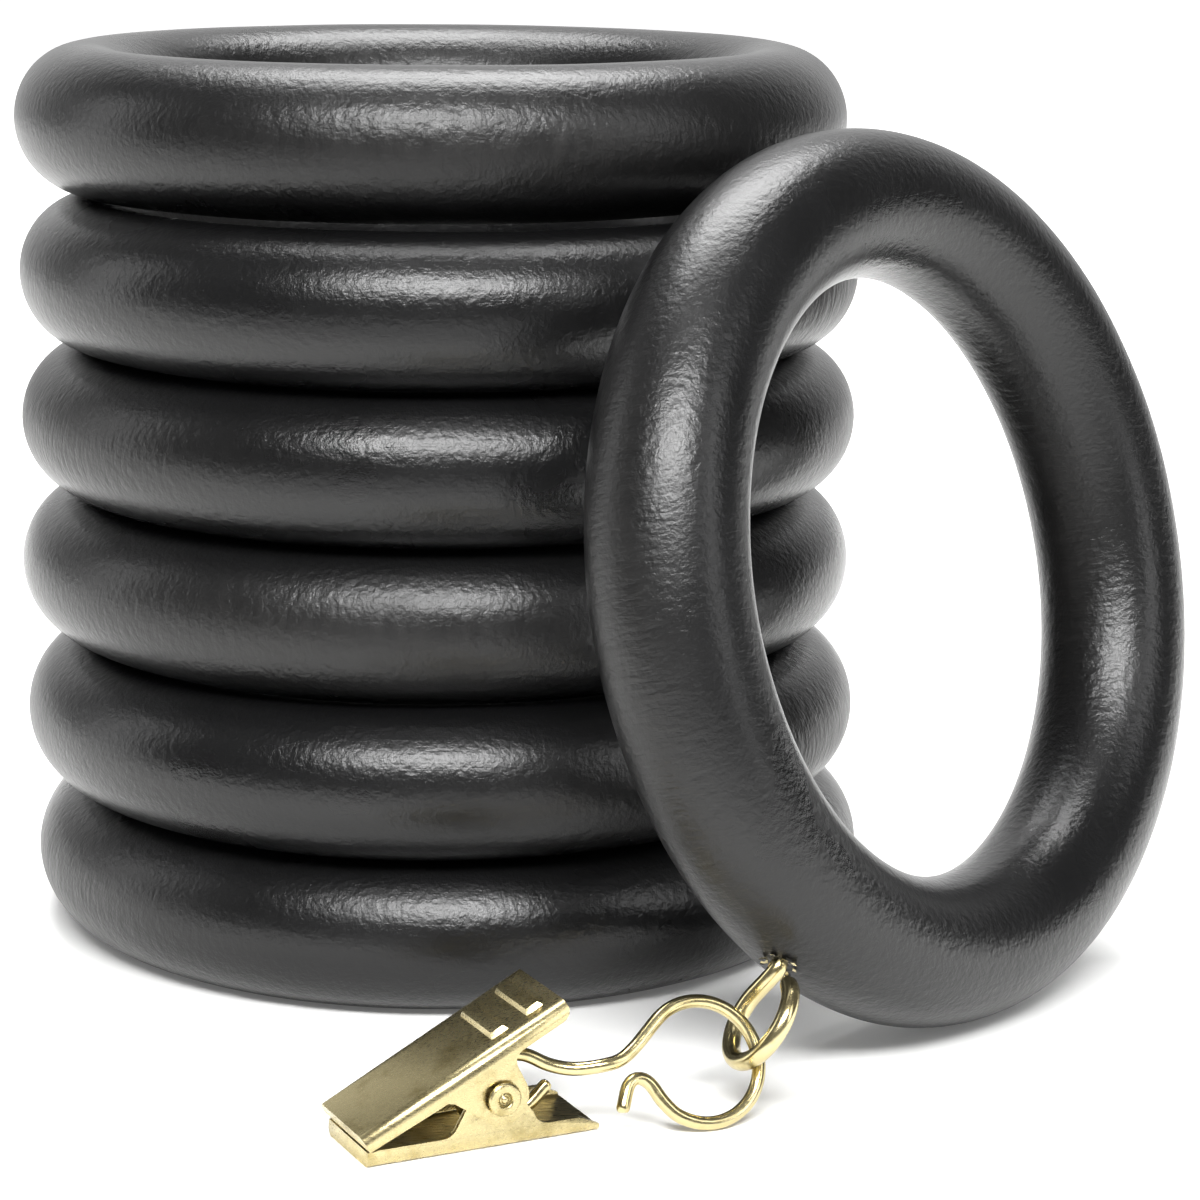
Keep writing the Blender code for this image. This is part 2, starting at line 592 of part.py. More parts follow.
make_rings()
make_hook()
make_upper_jaw()
make_lower_jaw()
make_rivet()
make_spring()
settle_origin()
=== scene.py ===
# %% [markdown]
# # Black wooden curtain rings with brass eyes and a clip
# The set is seven turned wooden rings, painted black. Six lie in a stack and one leans on them.
# Each ring holds a brass screw eye, and a sprung brass clip hangs in the leaning ring's eye.
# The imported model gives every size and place, so each cell asks it where a piece goes.

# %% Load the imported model
import json
import math

import bmesh
import bpy
import numpy as np
from mathutils import Matrix, Vector, noise


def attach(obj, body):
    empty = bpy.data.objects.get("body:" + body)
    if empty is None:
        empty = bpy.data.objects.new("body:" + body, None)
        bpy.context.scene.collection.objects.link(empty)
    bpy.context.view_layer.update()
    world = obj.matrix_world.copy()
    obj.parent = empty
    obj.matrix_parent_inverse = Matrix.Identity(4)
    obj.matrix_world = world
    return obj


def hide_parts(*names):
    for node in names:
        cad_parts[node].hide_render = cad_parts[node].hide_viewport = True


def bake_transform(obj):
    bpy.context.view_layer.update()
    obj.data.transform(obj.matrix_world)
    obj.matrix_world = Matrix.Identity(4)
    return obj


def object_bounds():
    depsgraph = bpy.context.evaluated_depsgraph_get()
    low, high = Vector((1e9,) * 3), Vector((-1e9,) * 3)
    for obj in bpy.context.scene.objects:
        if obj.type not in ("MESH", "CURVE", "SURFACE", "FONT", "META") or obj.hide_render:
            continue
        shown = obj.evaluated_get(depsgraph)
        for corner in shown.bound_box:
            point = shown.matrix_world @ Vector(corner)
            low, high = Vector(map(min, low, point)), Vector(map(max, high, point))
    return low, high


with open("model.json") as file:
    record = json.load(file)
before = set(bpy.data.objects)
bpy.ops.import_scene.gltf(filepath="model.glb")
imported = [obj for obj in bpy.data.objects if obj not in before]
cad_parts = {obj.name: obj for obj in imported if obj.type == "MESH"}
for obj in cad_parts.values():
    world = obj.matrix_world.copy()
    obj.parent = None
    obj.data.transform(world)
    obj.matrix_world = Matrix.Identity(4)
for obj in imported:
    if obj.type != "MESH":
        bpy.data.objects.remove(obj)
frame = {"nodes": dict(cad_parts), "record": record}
cad_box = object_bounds()
MM = 0.001
UP = Vector((0.0, 0.0, 1.0))

# %% [markdown]
# ## Where each ring stands
# A ring's axis is the direction in which its points spread least. A stacked ring lies flat, so its
# axis is set exactly upright. Its points, seen along that axis, then give its middle and its size.


# %% Find each ring's middle and axis
NEARLY_UPRIGHT = 0.9


def points_of(node):
    return np.array([tuple(v.co) for v in frame["nodes"][node].data.vertices])


def ring_place(node):
    """A ring's frame: z is its axis, x lies level, and the origin is its middle."""
    points = points_of(node)
    mean = points.mean(axis=0)
    axis = Vector(np.linalg.svd(points - mean, full_matrices=False)[2][2]).normalized()
    if abs(axis.z) > NEARLY_UPRIGHT:
        axis, level = UP, Vector((1.0, 0.0, 0.0))
    else:
        axis = axis if axis.y < 0 else -axis
        level = UP.cross(axis).normalized()
    upright = axis.cross(level)
    turned = Matrix((level, upright, axis)).transposed()
    local = (points - mean) @ np.array(turned)
    middle = Vector(mean) + turned @ Vector((local.min(axis=0) + local.max(axis=0)) / 2)
    size = local.max(axis=0) - local.min(axis=0)
    return Matrix.Translation(middle) @ turned.to_4x4(), size


RINGS = [f"ring_{i}" for i in range(1, 8)]
PLACES = {name: ring_place(name) for name in RINGS}
RING_SIZE = PLACES["ring_1"][1]
RIM = RING_SIZE[0] / 2
HALF_HEIGHT = RING_SIZE[2] / 2


def wood_width():
    """The wood's width across, from the bore to the rim, from the points nearest the axis."""
    place = PLACES["ring_1"][0]
    local = points_of("ring_1") - np.array(place.translation)
    return RIM - np.hypot(local[:, 0], local[:, 1]).min()


HALF_WIDTH = wood_width() / 2
CORE = RIM - HALF_WIDTH
print("ring outside", round(2 * RIM / MM, 2), "mm, wood", round(2 * HALF_WIDTH / MM, 2), "mm")

# %% [markdown]
# ## Camera
# A long lens stands about 0.3 m away and a little above, and looks down on the set. Its place is
# measured from the axis of the bottom ring.

# %% Camera
LENS_MM, SENSOR_MM = 105.32, 36.0
CAMERA_FROM_AXIS = Vector((0.00239, -0.29260, 0.09020))
YAW, PITCH, ROLL = (math.radians(a) for a in (2.055, 12.329, -0.411))


def add_object(name, data):
    """An object that shows the given mesh, lamp or lens, linked into the scene."""
    added = bpy.data.objects.new(name, data)
    bpy.context.scene.collection.objects.link(added)
    return added


def camera_axes():
    """The camera's right, up and backward directions."""
    ahead = Vector((math.sin(YAW) * math.cos(PITCH), math.cos(YAW) * math.cos(PITCH),
                    -math.sin(PITCH)))
    level = Vector((math.cos(YAW), -math.sin(YAW), 0.0))
    below = ahead.cross(level)
    right = level * math.cos(ROLL) + below * math.sin(ROLL)
    up = level * math.sin(ROLL) - below * math.cos(ROLL)
    return right, up, -ahead


def make_camera():
    lens = bpy.data.cameras.new("camera")
    lens.lens = LENS_MM
    lens.sensor_width = SENSOR_MM
    lens.clip_start = 10 * MM
    camera = add_object("camera", lens)
    middle = PLACES["ring_1"][0].translation
    camera.matrix_world = Matrix(camera_axes()).transposed().to_4x4()
    camera.location = Vector((middle.x, middle.y, 0.0)) + CAMERA_FROM_AXIS
    bpy.context.scene.camera = camera
    return camera


camera = make_camera()
print("camera at", [round(c, 4) for c in camera.location])

# %% [markdown]
# ## Floor and light
# The rings stand on a white acrylic sheet. The room is white behind them and grey in front, as a
# studio is, so black gloss stays dark in front and gets its light rims from behind.
# One wide soft box above the camera draws the bright patch on every ring, and a broad one high at
# the back lights the tops. Two narrow, weak ones give the edges at the left and right their light.


# %% Small helpers for colours and nodes
def colour(text):
    """Linear colour from an sRGB hex value."""
    parts = [int(text[i:i + 2], 16) / 255 for i in (1, 3, 5)]
    linear = [c / 12.92 if c <= 0.04045 else ((c + 0.055) / 1.055) ** 2.4 for c in parts]
    return (*linear, 1.0)


def add_node(tree, kind, inputs=(), **settings):
    """Add a node, set its settings, and fill its inputs with values or links."""
    node = tree.nodes.new(kind)
    for name, value in settings.items():
        setattr(node, name, value)
    for name, value in dict(inputs).items():
        if isinstance(value, bpy.types.NodeSocket):
            tree.links.new(value, node.inputs[name])
        else:
            node.inputs[name].default_value = value
    return node


def new_material(name):
    """A material with its Principled shader, whose other nodes are added to its tree."""
    material = bpy.data.materials.new(name)
    material.use_nodes = True
    return material, material.node_tree, material.node_tree.nodes["Principled BSDF"]


# %% Floor
FLOOR_HALF_WIDTH = 3.0
WHITE = (1.0, 1.0, 1.0, 1.0)
FLOOR_GLOW, FAR_GLOW = 0.10, 0.70
FRONT_FADE = (-0.13, -0.058)        # along y, from the pale grey table to the white sheet
FAR_FADE = (0.10, 0.60)             # along y, from the weak glow to the strong one
CLOUDS_PER_METRE = 9.0


def finished_mesh(name, work):
    """A mesh from a bmesh, which is freed."""
    mesh = bpy.data.meshes.new(name)
    work.to_mesh(mesh)
    work.free()
    return mesh


def make_floor():
    """White acrylic sheet, lit a little from below; it fades to a pale grey table at the front."""
    work = bmesh.new()
    bmesh.ops.create_grid(work, x_segments=8, y_segments=8, size=FLOOR_HALF_WIDTH)
    floor = add_object("floor", finished_mesh("floor", work))
    material, tree, shader = new_material("back_lit_white_acrylic_sheet")
    where = add_node(tree, "ShaderNodeTexCoord").outputs["Object"]
    split = add_node(tree, "ShaderNodeSeparateXYZ", {"Vector": where})
    cloud = add_node(tree, "ShaderNodeTexNoise", {
        "Vector": where, "Scale": CLOUDS_PER_METRE, "Detail": 2.0})
    near = add_node(tree, "ShaderNodeMapRange", {
        "Value": split.outputs["Y"], "From Min": FRONT_FADE[0], "From Max": FRONT_FADE[1]},
        interpolation_type="SMOOTHSTEP")
    white = add_node(tree, "ShaderNodeMix", {
        "Factor": cloud.outputs["Fac"], "A": colour("#f4f4f2"), "B": colour("#f8f8f7")},
        data_type="RGBA")
    shade = add_node(tree, "ShaderNodeMix", {
        "Factor": near.outputs["Result"], "A": colour("#bcbcbc"), "B": white.outputs["Result"]},
        data_type="RGBA")
    far = add_node(tree, "ShaderNodeMapRange", {
        "Value": split.outputs["Y"], "From Min": FAR_FADE[0], "From Max": FAR_FADE[1],
        "To Min": FLOOR_GLOW, "To Max": FAR_GLOW}, interpolation_type="SMOOTHSTEP")
    glow = add_node(tree, "ShaderNodeMath", {0: near.outputs["Result"], 1: far.outputs["Result"]},
                    operation="MULTIPLY")
    tree.links.new(shade.outputs["Result"], shader.inputs["Base Color"])
    tree.links.new(glow.outputs["Value"], shader.inputs["Emission Strength"])
    shader.inputs["Emission Color"].default_value = WHITE
    shader.inputs["Roughness"].default_value = 0.55
    floor.data.materials.append(material)


make_floor()
print("floor", 2 * FLOOR_HALF_WIDTH, "m wide")

# %% Room
ROOM_FRONT, ROOM_BACK = 0.13, 1.0
ROOM_FADE = (0.42, 0.92)            # how far back a direction points, from grey to white


def make_room():
    """White behind the set and grey in front of it, with a soft change over the top."""
    world = bpy.data.worlds.new("studio_room")
    world.use_nodes = True
    tree = world.node_tree
    way = add_node(tree, "ShaderNodeTexCoord").outputs["Generated"]
    split = add_node(tree, "ShaderNodeSeparateXYZ", {"Vector": way})
    shade = add_node(tree, "ShaderNodeMapRange", {
        "Value": split.outputs["Y"], "From Min": ROOM_FADE[0], "From Max": ROOM_FADE[1],
        "To Min": ROOM_FRONT, "To Max": ROOM_BACK}, interpolation_type="SMOOTHSTEP")
    tree.links.new(shade.outputs["Result"], tree.nodes["Background"].inputs["Strength"])
    tree.nodes["Background"].inputs["Color"].default_value = WHITE
    bpy.context.scene.world = world
    bpy.context.scene.view_settings.view_transform = "Standard"


make_room()
print("room", bpy.context.scene.world.name)

# %% Soft boxes
# Each has a width and height, an azimuth, an elevation, a distance in metres and a power in watts.
SOFT_BOXES = {
    "soft_box_front": ((0.50, 0.17), -2.0, 44.0, 0.70, 8.0),
    "soft_box_left": ((0.16, 0.60), -100.0, 10.0, 0.65, 0.8),
    "soft_box_right": ((0.16, 0.50), 58.0, 22.0, 0.75, 1.0),
    "soft_box_top": ((0.50, 0.40), 180.0, 68.0, 0.70, 7.5),
}


def make_lamp(name, size, azimuth, elevation, distance, power):
    """A soft box that faces the middle of the set. Azimuth 0 is over the camera, 90 is right."""
    lamp = bpy.data.lights.new(name, "AREA")
    lamp.shape = "RECTANGLE"
    lamp.size, lamp.size_y = size
    lamp.energy = power
    holder = add_object(name, lamp)
    middle = (cad_box[0] + cad_box[1]) / 2
    a, e = math.radians(azimuth), math.radians(elevation)
    out = Vector((math.sin(a) * math.cos(e), -math.cos(a) * math.cos(e), math.sin(e)))
    holder.location = middle + out * distance
    holder.rotation_euler = out.to_track_quat("Z", "Y").to_euler()


for name, settings in SOFT_BOXES.items():
    make_lamp(name, *settings)
print("lamps", list(SOFT_BOXES))

# %% [markdown]
# ## Black satin paint on turned wood
# The rings are beech, turned, sanded and dipped in black paint. The paint dries to a satin film
# with a fine orange peel, and the pores and turning marks under it still show. Where the rim cuts
# across the fibres the wood soaks up more paint, so the end grain is rough and slightly greyer.


# %% Paint material
PEEL_SIZE, PEEL_DEPTH = 0.6 * MM, 0.085 * MM
PORE_LENGTH, PORE_WIDTH, PORE_DEPTH = 4.0 * MM, 0.25 * MM, 0.008 * MM
TORN_SIZE, TORN_DEPTH = (0.9 * MM, 0.45 * MM, 2.2 * MM), 0.12 * MM
FILM_CLOUD_SIZE = 12 * MM


def scale_of(*sizes):
    """The texture scale at which one step of a pattern measures the given sizes."""
    return tuple(1 / size for size in sizes)


def make_paint():
    """Satin paint: near-black with broad, slightly broken highlights, duller on torn end grain."""
    material, tree, shader = new_material("black_satin_paint_on_turned_beech")
    where = add_node(tree, "ShaderNodeTexCoord").outputs["Object"]
    board = add_node(tree, "ShaderNodeAttribute", attribute_name="board").outputs["Fac"]
    end_grain = add_node(tree, "ShaderNodeAttribute", attribute_name="end_grain").outputs["Fac"]
    # Orange peel: lumps about 0.6 mm across, with finer grit on them.
    peel = add_node(tree, "ShaderNodeTexNoise", {
        "Vector": where, "W": board, "Scale": 1 / PEEL_SIZE, "Detail": 4.0,
        "Roughness": 0.6}, noise_dimensions="4D")
    # Pores: threads about 0.25 mm wide and 4 mm long, all in nearly one direction.
    along = add_node(tree, "ShaderNodeMapping", {
        "Vector": where, "Rotation": (0.0, math.radians(9), math.radians(17)),
        "Scale": scale_of(PORE_LENGTH, PORE_WIDTH, PORE_WIDTH)})
    pores = add_node(tree, "ShaderNodeTexNoise", {
        "Vector": along.outputs["Vector"], "W": board, "Scale": 1.0, "Detail": 3.0,
        "Roughness": 0.6}, noise_dimensions="4D")
    thin_pores = add_node(tree, "ShaderNodeMapRange", {
        "Value": pores.outputs["Fac"], "From Min": 0.30, "From Max": 0.47})
    # Torn fibres: ridges about 0.5 mm apart, only where the surface cuts across the grain.
    across = add_node(tree, "ShaderNodeMapping", {
        "Vector": where, "Rotation": (math.radians(12), 0.0, math.radians(8)),
        "Scale": scale_of(*TORN_SIZE)})
    torn = add_node(tree, "ShaderNodeTexNoise", {
        "Vector": across.outputs["Vector"], "W": board, "Scale": 1.0, "Detail": 2.0,
        "Distortion": 0.4}, noise_dimensions="4D")
    torn_depth = add_node(tree, "ShaderNodeMath", {0: torn.outputs["Fac"], 1: end_grain},
                          operation="MULTIPLY")
    # Broad clouds in the film, about 12 mm across.
    clouds = add_node(tree, "ShaderNodeTexNoise", {
        "Vector": where, "W": board, "Scale": 1 / FILM_CLOUD_SIZE, "Detail": 3.0},
        noise_dimensions="4D")

    bump = add_node(tree, "ShaderNodeBump", {
        "Height": peel.outputs["Fac"], "Strength": 1.0, "Distance": PEEL_DEPTH})
    bump = add_node(tree, "ShaderNodeBump", {
        "Height": thin_pores.outputs["Result"], "Strength": 0.7, "Distance": PORE_DEPTH,
        "Normal": bump.outputs["Normal"]})
    bump = add_node(tree, "ShaderNodeBump", {
        "Height": torn_depth.outputs["Value"], "Strength": 1.0, "Distance": TORN_DEPTH,
        "Normal": bump.outputs["Normal"]})

    film = add_node(tree, "ShaderNodeMix", {
        "Factor": clouds.outputs["Fac"], "A": colour("#090909"), "B": colour("#101011")},
        data_type="RGBA")
    grey = add_node(tree, "ShaderNodeMix", {
        "Factor": torn_depth.outputs["Value"], "A": film.outputs["Result"],
        "B": colour("#1b1a19")}, data_type="RGBA")
    worn = add_node(tree, "ShaderNodeMapRange", {
        "Value": clouds.outputs["Fac"], "From Min": 0.3, "From Max": 0.7,
        "To Min": 0.24, "To Max": 0.34})
    rough = add_node(tree, "ShaderNodeMath", {
        0: torn_depth.outputs["Value"], 1: 0.25, 2: worn.outputs["Result"]},
        operation="MULTIPLY_ADD")
    tree.links.new(grey.outputs["Result"], shader.inputs["Base Color"])
    tree.links.new(rough.outputs["Value"], shader.inputs["Roughness"])
    tree.links.new(bump.outputs["Normal"], shader.inputs["Normal"])
    shader.inputs["IOR"].default_value = 1.48
    return material


PAINT = make_paint()
print("made", PAINT.name)

# %% [markdown]
# ## The rings
# A turned ring is a torus whose section is a little taller than it is wide. Each is built here
# point by point, so that it can carry the soft unevenness that hand sanding leaves. Two numbers
# ride on its points: which board it came from, and how far its surface cuts across the grain.

# %% Ring meshes
AROUND, SECTION = 288, 72
# Real stacked rings touch, where the solids keep a gap between them.
STACKED_HEIGHT = HALF_HEIGHT + 0.10 * MM
SKIN = 0.010                        # in mm: how far the surface lies inside the solid's
SANDED_SIZE, SANDED_DEPTH = 9 * MM, 0.03
CHATTER_RATE, CHATTER_TWIST, CHATTER_DEPTH = 9, 0.02, 0.006
GRAIN_TURNS = [12, 150, 75, 20, 165, 98, 4]     # in degrees, one for each ring
BOARD_STEP = 3.7


def ring_mesh(name, grain_turn, board):
    """One ring in its own frame, with the board's grain at an angle in its plane."""
    work = bmesh.new()
    grain = Vector((math.cos(grain_turn), math.sin(grain_turn), 0.0))
    rows, cut = [], []
    for i in range(AROUND):
        a = 2 * math.pi * i / AROUND
        out = Vector((math.cos(a), math.sin(a), 0.0))
        row = []
        for j in range(SECTION):
            b = 2 * math.pi * j / SECTION
            across, up = math.cos(b), math.sin(b)
            point = out * (CORE + HALF_WIDTH * across) + Vector((0, 0, STACKED_HEIGHT * up))
            facing = out * across + Vector((0, 0, up))
            sanded = noise.noise(point / SANDED_SIZE + Vector((board, 0, 0)))
            chatter = noise.noise(Vector((across * CHATTER_RATE, up * CHATTER_RATE,
                                          board + i * CHATTER_TWIST)))
            point -= facing * MM * (SKIN + SANDED_DEPTH * sanded + CHATTER_DEPTH * chatter)
            row.append(work.verts.new(point))
            cut.append(abs(facing.dot(grain)) ** 4)
        rows.append(row)
    for i in range(AROUND):
        for j in range(SECTION):
            here, there = rows[i], rows[(i + 1) % AROUND]
            nxt = (j + 1) % SECTION
            work.faces.new((here[j], there[j], there[nxt], here[nxt]))
    mesh = finished_mesh(name, work)
    mesh.shade_smooth()
    for label, values in (("end_grain", cut), ("board", [board] * len(cut))):
        layer = mesh.attributes.new(label, "FLOAT", "POINT")
        layer.data.foreach_set("value", np.array(values, dtype=np.float32))
    return mesh


def body_of(node):
    """The body that the record puts a node on."""
    return next(b for b, members in frame["record"]["behaviour"]["bodies"].items()
                if node in members)


def place_piece(name, mesh, place, node, material):
    """Put a piece in the scene in place of a node, on the node's own body."""
    piece = add_object(name, mesh)
    piece.matrix_world = place
    mesh.materials.clear()
    mesh.materials.append(material)
    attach(piece, body_of(node))
    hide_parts(node)
    return piece


for i, node in enumerate(RINGS):
    mesh = ring_mesh("turned_" + node, math.radians(GRAIN_TURNS[i]), BOARD_STEP * (i + 1))
    place_piece("turned_" + node, mesh, PLACES[node][0], node, PAINT)
print("rings", len(RINGS), "points each", AROUND * SECTION)

# %% [markdown]
# ## Pale brass plate
# The eyes, the hook and the clip are wire and strip with a bright brass plate. Small parts are
# plated while they tumble in a barrel, so the plate is pale and mirror-like, with fine random rubs,
# shallow dents and a little darker tarnish.


# %% Brass materials
TARNISH_SIZE = 2.5 * MM
RUB_LENGTH, RUB_WIDTH, RUB_DEPTH = 1.6 * MM, 0.12 * MM, 0.002 * MM
DENT_SIZE, DENT_DEPTH = 0.7 * MM, 0.009 * MM


def make_brass(name, light, dark, rough_low, rough_high):
    """Barrel-plated brass: fine rubs and shallow dents break up its pale, mirror-like shine."""
    material, tree, shader = new_material(name)
    where = add_node(tree, "ShaderNodeTexCoord").outputs["Object"]
    clouds = add_node(tree, "ShaderNodeTexNoise", {
        "Vector": where, "Scale": 1 / TARNISH_SIZE, "Detail": 4.0, "Roughness": 0.6})
    stained = add_node(tree, "ShaderNodeMapRange", {
        "Value": clouds.outputs["Fac"], "From Min": 0.52, "From Max": 0.78})
    tone = add_node(tree, "ShaderNodeMix", {
        "Factor": stained.outputs["Result"], "A": colour(light), "B": colour(dark)},
        data_type="RGBA")
    rubs = add_node(tree, "ShaderNodeMapping", {
        "Vector": where, "Rotation": (0.4, 0.3, 0.9),
        "Scale": scale_of(RUB_LENGTH, RUB_WIDTH, RUB_WIDTH)})
    rub = add_node(tree, "ShaderNodeTexNoise", {
        "Vector": rubs.outputs["Vector"], "Scale": 1.0, "Detail": 2.0})
    dents = add_node(tree, "ShaderNodeTexNoise", {
        "Vector": where, "Scale": 1 / DENT_SIZE, "Detail": 2.0})
    rough = add_node(tree, "ShaderNodeMapRange", {
        "Value": rub.outputs["Fac"], "From Min": 0.3, "From Max": 0.7,
        "To Min": rough_low, "To Max": rough_high})
    bump = add_node(tree, "ShaderNodeBump", {
        "Height": dents.outputs["Fac"], "Strength": 1.0, "Distance": DENT_DEPTH})
    bump = add_node(tree, "ShaderNodeBump", {
        "Height": rub.outputs["Fac"], "Strength": 0.5, "Distance": RUB_DEPTH,
        "Normal": bump.outputs["Normal"]})
    tree.links.new(tone.outputs["Result"], shader.inputs["Base Color"])
    tree.links.new(rough.outputs["Result"], shader.inputs["Roughness"])
    tree.links.new(bump.outputs["Normal"], shader.inputs["Normal"])
    shader.inputs["Metallic"].default_value = 1.0
    return material


WIRE_BRASS = make_brass("drawn_brass_wire_barrel_plated", "#d8ca9a", "#ac9a66", 0.18, 0.27)
SHEET_BRASS = make_brass("pressed_brass_strip_barrel_plated", "#cbbd8f", "#a29260", 0.24, 0.33)
SPRING_BRASS = make_brass("drawn_spring_wire_plated", "#cdbb86", "#7d6a40", 0.18, 0.34)
print("made", WIRE_BRASS.name, SHEET_BRASS.name, SPRING_BRASS.name)

# %% [markdown]
# ## Wires
# The eyes, the hook and the spring are round wire. Their solids are twelve-sided tubes, so each
# is copied, its triangles are joined to quads, and one subdivision rounds it. Subdividing draws a
# twelve-sided tube in by about a twentieth, so the points are first pushed out by as much.

# %% Refined wires
ROUND_LOSS = 0.047
WELD = 0.001 * MM
EYE_RADIUS, HOOK_RADIUS, SPRING_RADIUS = 0.72 * MM, 0.53 * MM, 0.30 * MM


def welded_copy(node):
    """The node's mesh as one surface again, in a bmesh."""
    work = bmesh.new()
    work.from_mesh(frame["nodes"][node].data)
    bmesh.ops.remove_doubles(work, verts=work.verts, dist=WELD)
    return work


def wire_mesh(node, wire_radius):
    """A node's tube in quads, pushed out so that it keeps its thickness when subdivided."""
    work = welded_copy(node)
    bmesh.ops.join_triangles(work, faces=work.faces, angle_face_threshold=0.7,
                             angle_shape_threshold=0.9)
    work.normal_update()
    pushed = [(v, v.normal * wire_radius * ROUND_LOSS) for v in work.verts]
    for v, step in pushed:
        v.co += step
    mesh = finished_mesh("round_" + node, work)
    mesh.shade_smooth()
    return mesh


def subdivide(piece, levels):
    modifier = piece.modifiers.new("rounded", "SUBSURF")
    modifier.levels = levels
    modifier.render_levels = levels


WIRES = [(f"screw_eye_{i}", EYE_RADIUS, "eye_brass") for i in range(1, 8)]
WIRES.append(("hook_wire", HOOK_RADIUS, "clip_brass"))
for node, radius, slot in WIRES:
    piece = place_piece("bent_" + node, wire_mesh(node, radius), Matrix(), node, WIRE_BRASS)
    subdivide(piece, 1)
print("wires", len(WIRES))

# %% [markdown]
# ## Pressed jaws and rivet
# The jaws are strip brass, cut, pressed and folded. A press leaves no sharp edge, so the solid's
# flat faces are joined up again and every hard edge gets a small two-step round.


# %% Jaws and rivet
PRESSED = ("upper_jaw", "lower_jaw", "rivet")
SAME_FACE, HARD_EDGE = math.radians(1.0), math.radians(38)
EDGE_ROUND = 0.05 * MM


def pressed_mesh(node):
    """A node's mesh with its flat faces whole again."""
    work = welded_copy(node)
    bmesh.ops.dissolve_limit(work, angle_limit=SAME_FACE, verts=work.verts, edges=work.edges)
    mesh = finished_mesh("pressed_" + node, work)
    mesh.shade_smooth()
    return mesh


def round_edges(piece, width):
    modifier = piece.modifiers.new("broken_edges", "BEVEL")
    modifier.width = width
    modifier.segments = 2
    modifier.limit_method = "ANGLE"
    modifier.angle_limit = HARD_EDGE
    modifier.harden_normals = True


for node in PRESSED:
    piece = place_piece("pressed_" + node, pressed_mesh(node), Matrix(), node,
                        SHEET_BRASS)
    round_edges(piece, EDGE_ROUND)
print("pressed pieces", len(PRESSED))

# %% [markdown]
# ## The rivet's closed ends
# The rivet is a semi-tubular one: its ends are rolled over, and a small dome of metal is left in
# the middle of each. Each dome is turned from a short profile and sits inside the rolled head.


# %% Rivet domes
def rivet_axis():
    """The rivet's middle, its direction towards the far side, and its half-length."""
    points = points_of("rivet")
    middle = Vector((points.min(axis=0) + points.max(axis=0)) / 2)
    spread = np.linalg.svd(points - points.mean(axis=0), full_matrices=False)[2][0]
    along = Vector(spread).normalized()
    along = along if along.y > 0 else -along
    half = max(abs((Vector(p) - middle).dot(along)) for p in points)
    return middle, along, half


# Radius and height of each ring of points, in mm, from the dome's top out to the rolled rim.
DOME_PROFILE = [(0.0, -0.04), (0.10, -0.05), (0.19, -0.09), (0.26, -0.15), (0.30, -0.22),
                (0.36, -0.24), (0.46, -0.22), (0.52, -0.12)]
DOME_SEGMENTS = 32
DOME_ROOT = 0.5 * MM


def make_dome(side):
    """One end's dome; it is closed by a point inside the rivet."""
    middle, along, half = rivet_axis()
    work = bmesh.new()
    rows = []
    for radius, depth in DOME_PROFILE[1:]:
        row = []
        for k in range(DOME_SEGMENTS):
            a = 2 * math.pi * k / DOME_SEGMENTS
            row.append(work.verts.new((radius * MM * math.cos(a), radius * MM * math.sin(a),
                                       half + depth * MM)))
        rows.append(row)
    top = work.verts.new((0.0, 0.0, half + DOME_PROFILE[0][1] * MM))
    back = work.verts.new((0.0, 0.0, half - DOME_ROOT))
    for k in range(DOME_SEGMENTS):
        nxt = (k + 1) % DOME_SEGMENTS
        work.faces.new((top, rows[0][k], rows[0][nxt]))
        work.faces.new((back, rows[-1][nxt], rows[-1][k]))
        for inner, outer in zip(rows, rows[1:]):
            work.faces.new((inner[k], outer[k], outer[nxt], inner[nxt]))
    bmesh.ops.recalc_face_normals(work, faces=work.faces)
    mesh = finished_mesh(f"rivet_dome_{side}", work)
    mesh.shade_smooth()
    mesh.materials.append(SHEET_BRASS)
    dome = add_object(f"rivet_dome_{side}", mesh)
    way = -along if side == "near" else along
    turned = way.to_track_quat("Z", "Y").to_matrix().to_4x4()
    dome.matrix_world = Matrix.Translation(middle) @ turned
    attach(dome, "upper_clip")


SIDES = ("near", "far")
for side in SIDES:
    make_dome(side)
print("rivet domes", len(SIDES))

# %% [markdown]
# ## Chipped paint round the leaning ring's eye
# Screwing an eye into a painted ring lifts the paint round the hole, and thin flakes of plate and
# paint stay there. They are small bent chips, set in a ragged circle round the shank.


# %% Chips
SHANK_TIP = 2.0 * MM
CHIP_DEPTH, CHIP_THICKNESS = 0.10 * MM, 0.05 * MM
CHIP_BEND = 0.35                    # how far a chip's outer edge curls up
# Each corner's place along the hole's edge and away from it, as shares of the chip's size.
CHIP_OUTLINE = ((-0.6, 0.0), (0.5, 0.05), (0.65, 0.7), (0.1, 1.1), (-0.5, 0.8))


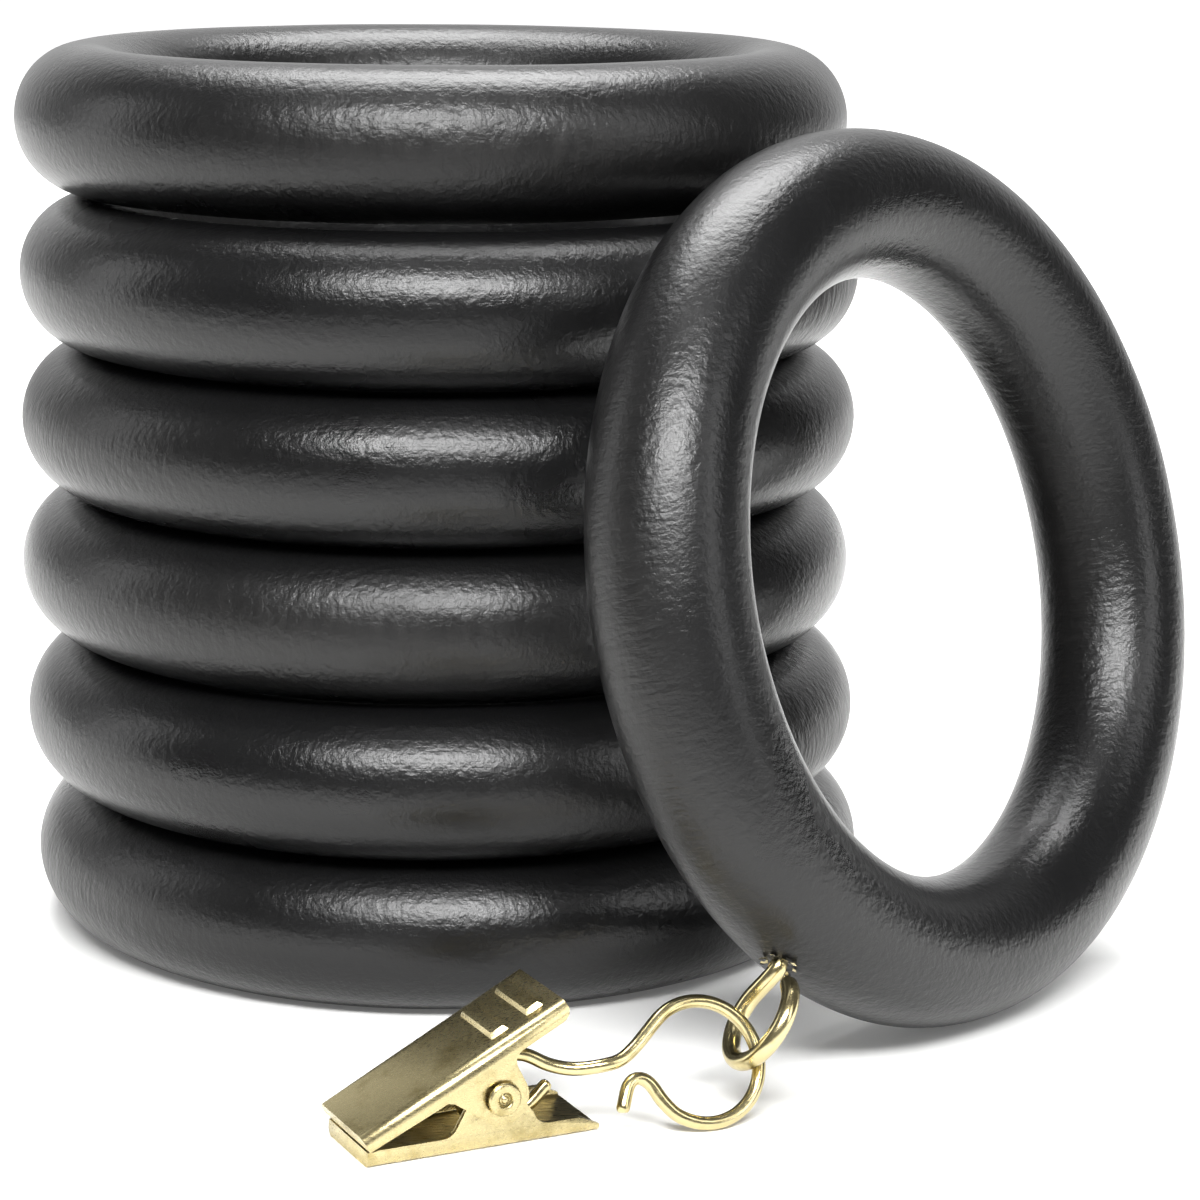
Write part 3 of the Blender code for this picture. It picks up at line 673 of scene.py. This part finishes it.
def eye_mouth():
    """Where the leaning ring's eye enters the wood, and a frame whose z points out of it."""
    eye = points_of("screw_eye_7")
    middle = PLACES["ring_7"][0].translation
    away = np.linalg.norm(eye - np.array(middle), axis=1)
    shank = Vector(eye[away < away.min() + SHANK_TIP].mean(axis=0)) - middle
    shank.normalize()
    return Matrix.Translation(middle + shank * RIM) @ \
        shank.to_track_quat("Z", "Y").to_matrix().to_4x4()


def make_chips():
    """Two pieces: one ring of brass flakes and one of paint chips, all a little different."""
    place = eye_mouth()
    rng = np.random.default_rng(7)
    for label, count, material in (("brass_flakes", 9, WIRE_BRASS), ("paint_chips", 8, PAINT)):
        work = bmesh.new()
        for k in range(count):
            a = 2 * math.pi * (k + rng.uniform(0.0, 0.7)) / count
            radius = rng.uniform(0.85, 1.15) * MM
            size = rng.uniform(0.28, 0.55) * MM
            rise = rng.uniform(0.00, 0.22) * MM
            out = Vector((math.cos(a), math.sin(a), 0.0))
            side = Vector((-math.sin(a), math.cos(a), 0.0))
            base = out * radius + Vector((0, 0, rise - CHIP_DEPTH))
            corners = []
            for along_side, outward in CHIP_OUTLINE:
                bend = CHIP_BEND * outward * outward
                corners.append(base + side * size * along_side * rng.uniform(0.7, 1.2)
                               + out * size * outward + Vector((0, 0, size * bend)))
            upper = [work.verts.new(c + Vector((0, 0, CHIP_THICKNESS))) for c in corners]
            lower = [work.verts.new(c) for c in corners]
            work.faces.new(upper)
            work.faces.new(lower[::-1])
            for i in range(len(corners)):
                j = (i + 1) % len(corners)
                work.faces.new((upper[i], lower[i], lower[j], upper[j]))
        bmesh.ops.recalc_face_normals(work, faces=work.faces)
        mesh = finished_mesh(label, work)
        mesh.materials.append(material)
        chips = add_object(label, mesh)
        chips.matrix_world = place
        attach(chips, "leaning_ring")


make_chips()
print("chips round the eye")

# %% [markdown]
# ## Torsion spring
# The coil sits round the rivet. One arm pushes the upper jaw and the other the lower, so when the
# jaws open the coil winds up. The piece is one rounded wire that stays where its solid lies.


# %% Spring
def make_spring():
    """The coil as one rounded wire, in place of its solid; it stays where the solid lies."""
    mesh = wire_mesh("torsion_spring", SPRING_RADIUS)
    spring = add_object("coiled_spring", mesh)
    mesh.materials.clear()
    mesh.materials.append(SPRING_BRASS)
    subdivide(spring, 1)
    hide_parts("torsion_spring")
    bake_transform(spring)


make_spring()
